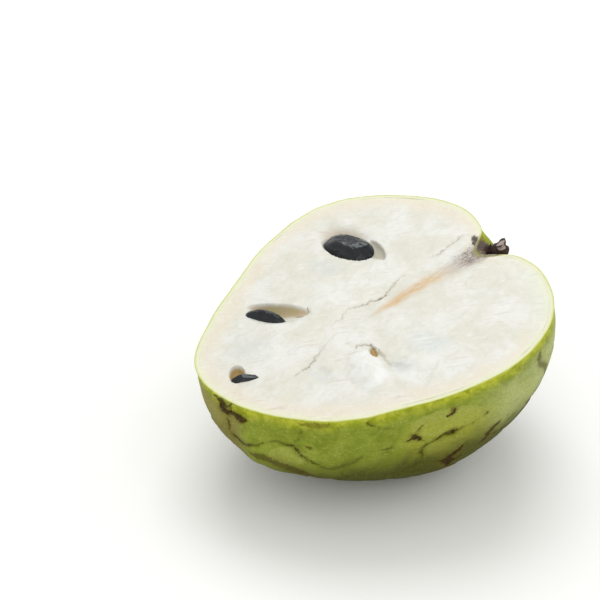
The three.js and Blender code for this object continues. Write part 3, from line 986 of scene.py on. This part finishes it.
def skin_finish():
    """Satin green skin: mottled plates of two greens, tinted sides with a painted sheen at the right, a
    painted reflection at the left and painted shade towards the bottom, pale specks and dark dots, lines
    between plates with painted soft shade beside them, brown scars, a cream cut edge and a brown-olive
    hollow round the stem."""
    f = Finish("rind", roughness=0.6, specular_ior_level=0.1)
    cloud = f.noise(13, 3, 0.5, 0.6)
    mottle = f.noise(3.2, 4, 0.6, 0.6)
    fine = f.noise(0.8, 3, 0.65)
    grain = f.noise(0.35, 2, 0.6)

    f.base("6D7D12", "87962C", f.span(f.plus(f.mark("tone"), f.times(cloud, 1.6), -0.8), 0.1, 0.9))
    f.tint(f.span(mottle, 0.35, 0.7, 0, 0.45), "9BA440")
    f.tint(f.span(mottle, 0.3, 0.5, 0.45, 0), "65710F")
    pale = f.span(f.plus(f.mark("pale"), f.sway(cloud, 0.7), f.sway(mottle, 0.3)), 0.2, 0.7)
    f.tint(f.times(pale, 0.8), "A5AA50")
    # The painted shade towards the bottom also thins the specks and roughens the skin there.
    low_shade = tint_sides(f, cloud, mottle)

    specks = f.times(f.span(f.cells(1.3), 0.14, 0.32, 1, 0), f.span(mottle, 0.35, 0.6))
    f.tint(f.times(specks, f.span(low_shade, 0, 0.6, 0.26, 0.06)), "D2D58C")
    dots = f.times(f.span(f.cells(2.3), 0.07, 0.17, 1, 0), f.span(cloud, 0.42, 0.62))
    f.tint(f.times(dots, 0.5), "59611A")
    f.tint(f.span(grain, 0.3, 0.7, 0, 0.16), "BCC060")
    f.tint(f.span(fine, 0.35, 0.7, 0.3, 0), "626E14")
    line, scar = tint_lines_and_scars(f, mottle, fine)

    cut = f.mark("sunk")
    f.tint(f.span(f.mark("below"), 0.15, 1.1, 0.45, 0), "BFC65A")
    f.tint(f.span(cut, 0.02, 0.3), "CDD48C")
    f.tint(f.span(f.plus(cut, f.sway(f.noise(1.8), 0.7)), 0.2, 0.9), "E2E2C6")
    stem = f.span(f.plus(f.mark("stem"), f.sway(mottle, 0.6)), 0.35, 0.9)
    f.tint(f.times(stem, 0.75), "4B4410", "8A7A3C", f.span(fine, 0.35, 0.65))

    grown = f.plus(f.times(fine, 0.3), f.times(mottle, 0.4), f.times(specks, 0.15))
    f.bump(f.plus(grown, f.times(line, -0.8), f.times(scar, -0.5)), 0.14)
    return f.finish(f.plus(f.span(fine, 0.2, 0.8, 0.52, 0.66), f.times(low_shade, 0.15), f.times(scar, 0.2)))


def flesh_finish(name, fibres=0.0):
    """Moist white flesh: cool in the middle, cream towards the rim, with the core's tan and plum streak,
    tan and amber walls of hollows, grey cracks, faint streaks of the knife and of fibres. The grey in
    the dish over the flat seed and in the tail of its socket, the tan on the far wall of the long hollow,
    the grey along the cracks and the grey of two cool patches in valleys are painted shade."""
    f = Finish(name, roughness=0.45, subsurface_weight=0.1, subsurface_scale=0.002)
    f.shader.inputs["Subsurface Radius"].default_value = (1.0, 0.8, 0.6)
    cloud = f.noise(12, 4, 0.55, 0.5)
    vein = f.noise(4, 4, 0.6, 1.0)
    grain = f.noise(0.9, 3, 0.6, 0.4)
    knife = f.noise(1.0, 3, 0.55, 0.2, f.lined_up((9, 1, 6), KNIFE_HEADING))
    thread = f.noise(0.55, 3, 0.7, 0.3, f.lined_up((7, 1, 4)))

    f.base("D6D4C6", "DFDFD8", f.span(cloud, 0.35, 0.65))
    f.tint(f.span(vein, 0.48, 0.7, 0, 0.45), "CBCAB9")
    # Cool grey patches; in the valleys under the crack and beside the bulge this grey is painted shade.
    f.tint(f.times(f.mark("cool"), f.span(vein, 0.3, 0.6, 0.4, 1), 0.7), "C9CFCD")
    rim = f.plus(f.mark("inset"), f.sway(cloud, 7), f.sway(vein, 3))
    warm = f.times(f.span(rim, 0.5, 9, 0.85, 0), f.span(f.mark("far_side"), 0, 0.7, 1, 0.1))
    f.tint(warm, "DFD6C2")
    f.tint(f.times(f.span(rim, 1, 8, 0.6, 0), f.mark("far_side")), "DDE2CC")
    f.tint(f.span(f.mark("inset"), 0, 2, 0.7, 0), "E0E1C4")
    streaks = f.times(f.span(knife, 0.58, 0.7), f.span(cloud, 0.4, 0.6))
    f.tint(f.times(streaks, 0.35), "BCA994")
    f.tint(f.span(knife, 0.4, 0.25, 0, 0.4), "EDEDE8")
    f.tint(f.times(f.mark("white"), f.span(vein, 0.35, 0.6, 1, 0.6)), "E5E7E3")
    # Painted shade: warm grey in the dish over the flat seed.
    f.tint(f.times(f.mark("shade"), f.span(cloud, 0.3, 0.6, 0.5, 0.85)), "B3A388")
    # Painted shade: grey in the tail of the flat seed's socket.
    f.tint(f.times(f.mark("socket"), 0.7), "A39E84")

    tan = f.times(f.mark("tan"), f.span(thread, 0.3, 0.62, 0.35, 1))
    f.tint(f.times(tan, 0.85), "CDA25E")
    plum = f.times(f.mark("plum"), f.span(thread, 0.3, 0.65, 0.3, 1))
    f.tint(f.times(plum, 0.85), "84706A")
    net = f.span(f.noise(1.1, 4, 0.75, 2.2), 0.47, 0.6)
    f.tint(f.times(f.mark("fleck"), net, 0.85), "2A1B17")

    streaky = f.plus(f.mark("torn"), f.sway(thread, 1.2), f.sway(grain, 0.8))
    f.tint(f.span(streaky, 0.15, 0.5, 0, 0.95), "140B06", "4E3829", f.span(thread, 0.4, 0.6))
    # Painted shade: tan on the far wall of the long hollow.
    wall = f.times(f.mark("wall"), f.span(cloud, 0.3, 0.7, 0.85, 1))
    f.tint(f.times(wall, 0.9), "A8984A", "B89A78", f.span(vein, 0.4, 0.6))
    f.tint(f.times(f.mark("amber"), 0.9), "8A660E", "C29A36", grain)
    # Painted shade along the cracks: a soft grey beside them and a dark grey in them.
    crack = f.plus(f.mark("crack_gap"), f.sway(grain, 1.2))
    f.tint(f.times(f.span(crack, 0.8, 3, 0.35, 0), f.mark("crack_dark")), "B9AF96")
    f.tint(f.times(f.span(crack, 0.3, 1.0, 1, 0), f.mark("crack_dark")), "6F6446")
    if fibres:
        f.tint(f.mark("end"), "2E1E16", "6D5648", thread)

    height = f.plus(f.times(grain, 0.4), f.times(knife, 0.5), f.times(vein, 0.8), f.times(thread, fibres))
    f.bump(height, 0.22)
    return f.finish(f.span(grain, 0.25, 0.75, 0.36, 0.52))


def cork_finish():
    """Dry dark cork, furrowed, with pinkish grey fibres on the side that faces the flesh."""
    f = Finish("cork", roughness=0.85)
    furrow = f.noise(1.1, 4, 0.7, 1.4)
    fine = f.noise(0.35, 3, 0.7, 0.4)
    f.base("160C06", "4A2E1C", f.span(furrow, 0.3, 0.7))
    inner = f.span(f.plus(f.mark("fibres"), f.sway(furrow, 0.6)), 0.3, 0.65)
    f.tint(inner, "8E7A72", "CBBDB4", f.span(fine, 0.35, 0.65))
    f.bump(f.plus(furrow, f.times(fine, 0.4)), 0.4)
    return f.finish(f.span(fine, 0.3, 0.7, 0.7, 0.95))


def seed_finish():
    """Glossy black seed coat with faint wrinkles and duller patches."""
    f = Finish("seed_coat", roughness=0.2, specular_ior_level=0.35, coat_weight=0.3, coat_roughness=0.1)
    f.shader.inputs["Specular Tint"].default_value = (0.85, 0.95, 1.0, 1.0)
    wrinkle = f.noise(2.2, 4, 0.6, 1.2)
    fine = f.noise(0.4, 2, 0.6)
    f.base("050607", "15171A", f.span(wrinkle, 0.35, 0.7))
    f.bump(f.plus(wrinkle, f.times(fine, 0.05)), 0.1)
    return f.finish(f.span(wrinkle, 0.3, 0.7, 0.14, 0.3))


# Floor, light and camera


def make_floor():
    """A wide pale floor just under the flat spot."""
    half, drop = 3.0, 0.00005
    corners = [(-half, -half, -drop), (half, -half, -drop), (half, half, -drop), (-half, half, -drop)]
    mesh = bpy.data.meshes.new("floor")
    mesh.from_pydata(corners, [], [(0, 1, 2, 3)])
    floor = bpy.data.objects.new("floor", mesh)
    bpy.context.scene.collection.objects.link(floor)
    f = Finish("pale_floor", roughness=0.9)
    f.base("FAFAF8")
    floor.data.materials.append(f.finish(0.9))


def add_light(name, place, size, power, tint=(1, 1, 1)):
    """A square soft light that faces the fruit from a place in metres."""
    light = bpy.data.lights.new(name, "AREA")
    light.shape = "SQUARE"
    light.size = size
    light.energy = power
    light.color = tint
    lamp = bpy.data.objects.new(name, light)
    lamp.location = place
    lamp.rotation_euler = (Vector((0, 0, 0.04)) - Vector(place)).to_track_quat("-Z", "Y").to_euler()
    bpy.context.scene.collection.objects.link(lamp)


def light_scene():
    """A large soft window behind and above, weak fill in front and at the right, and an even white room."""
    add_light("window", (0.3, 0.44, 1.0), 0.7, 4.6)
    add_light("front", (-0.7, -0.9, 0.7), 1.0, 1.7)
    add_light("right", (0.9, -0.4, 0.6), 0.8, 0.9)
    world = bpy.data.worlds.new("room")
    world.use_nodes = True
    world.node_tree.nodes["Background"].inputs["Color"].default_value = (1, 1, 1, 1)
    world.node_tree.nodes["Background"].inputs["Strength"].default_value = 0.8
    bpy.context.scene.world = world
    bpy.context.scene.view_settings.view_transform = "Standard"


def add_camera():
    """The camera: back from the middle of the face, then moved left and up in its own picture."""
    sine, cosine = math.sin(CAMERA_AZIMUTH), math.cos(CAMERA_AZIMUTH)
    level = math.cos(CAMERA_ELEVATION)
    back = np.array([sine * level, -cosine * level, math.sin(CAMERA_ELEVATION)])
    right = np.array([cosine, sine, 0])
    up = np.cross(back, right)
    place = (FACE_CENTRE + CAMERA_AWAY * back - CAMERA_LEFT * right + CAMERA_ABOVE * up) / 1000
    lens = bpy.data.cameras.new("camera")
    lens.sensor_width = 36
    lens.lens = CAMERA_LENS
    camera = bpy.data.objects.new("camera", lens)
    turn = Matrix(np.stack([right, up, back], -1).tolist())
    camera.matrix_world = Matrix.Translation(place) @ turn.to_4x4()
    bpy.context.scene.collection.objects.link(camera)
    bpy.context.scene.camera = camera


add_camera()
light_scene()
make_floor()
dress(make_skin(), "skin", skin_finish())
dress(make_flesh(), "flesh", flesh_finish("flesh"))
dress(make_core(), "core", flesh_finish("core", fibres=0.8))
dress(make_ring(), "stem_scar", cork_finish())
seed_coat = seed_finish()
for number, (node, seed) in enumerate(SEEDS.items()):
    dress(make_seed(node, **seed, seed=71 + 5 * number), node, seed_coat)
